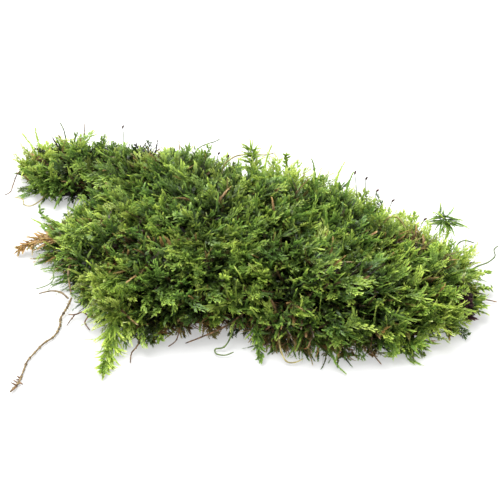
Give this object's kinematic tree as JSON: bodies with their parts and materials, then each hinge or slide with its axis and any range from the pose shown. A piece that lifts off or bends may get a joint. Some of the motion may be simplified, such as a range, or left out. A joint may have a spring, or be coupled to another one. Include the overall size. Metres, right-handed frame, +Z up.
{
  "type": "moss clump",
  "caption": "Flat irregular clump of living feather moss on a thin layer of dead stems, with loose fronds, rootlets and stalks at its edges, to lie on a surface as ground cover.",
  "frame": {"origin": "middle of the clump's footprint, on the flat underside that it rests on", "axes": "+X along the clump's length towards its narrow right lobe, +Y from its front edge to its back edge, +Z up"},
  "size_m": [0.2544, 0.1988, 0.0386],
  "materials": {
    "living_moss": "soft, matt to slightly waxy overlapping leaves, green",
    "bright_young_moss": "thin yellow green young leaves, slightly see-through",
    "thin_green_stem": "thin smooth olive green stem",
    "dead_brown_stem": "dry matt brown stems and litter",
    "rusty_dead_moss": "dry matt rusty leaves",
    "straw_coloured_stem": "dry straw coloured stem",
    "dark_purple_moss": "dark purple brown dead leaves"
  },
  "bodies": {
    "root": {"moss_mat": "living_moss", "dead_stem_layer": "dead_brown_stem", "dark_leaf_clump": "dark_purple_moss", "brown_root_stem": "dead_brown_stem", "long_rootlet": "dead_brown_stem", "rootlet_side_branch": "rusty_dead_moss", "rootlet_cross_branch": "thin_green_stem", "left_green_stem": "thin_green_stem", "left_dark_twig": "dead_brown_stem", "left_dark_twig_fork": "dead_brown_stem", "left_dark_twig_tail": "dead_brown_stem", "feathery_frond": "bright_young_moss", "front_left_tuft": "bright_young_moss", "front_left_fork": "dead_brown_stem", "rusty_frond": "rusty_dead_moss", "arm_hooked_shoot": "living_moss", "arm_drooping_shoot": "living_moss", "bay_shoot": "thin_green_stem", "left_curled_shoot": "living_moss", "arm_dead_stem": "dead_brown_stem", "arm_dead_loop": "straw_coloured_stem", "arm_back_stem": "thin_green_stem", "arm_back_thin_stem": "dead_brown_stem", "arm_tip_shoot_left": "bright_young_moss", "arm_tip_shoot_right": "bright_young_moss", "back_curved_stem": "thin_green_stem", "back_long_stem": "straw_coloured_stem", "back_stout_stem": "bright_young_moss", "back_fan_frond": "bright_young_moss", "back_lance_shoot": "bright_young_moss", "back_curved_shoot": "living_moss", "back_right_shoot": "bright_young_moss", "back_right_lance": "living_moss", "spore_stalk_1": "thin_green_stem", "spore_stalk_2": "thin_green_stem", "spore_stalk_3": "thin_green_stem", "spore_stalk_4": "thin_green_stem", "spore_stalk_5": "thin_green_stem", "spore_stalk_6": "thin_green_stem", "spore_stalk_7": "thin_green_stem", "spore_stalk_8": "thin_green_stem", "arched_stem": "straw_coloured_stem", "right_fan_frond": "bright_young_moss", "right_curved_stem": "thin_green_stem", "right_tip_stem": "thin_green_stem", "right_tip_shoot": "bright_young_moss", "right_lower_shoot": "bright_young_moss", "right_low_twig": "dead_brown_stem", "front_dark_twig": "dead_brown_stem", "front_forked_twig": "dead_brown_stem", "front_bright_frond": "bright_young_moss", "front_curled_shoot": "thin_green_stem", "front_fan_shoot": "thin_green_stem", "front_arc_shoot": "straw_coloured_stem", "front_right_hook": "living_moss", "front_right_twig": "dead_brown_stem", "club_shoot": "living_moss"}
  },
  "joints": []
}
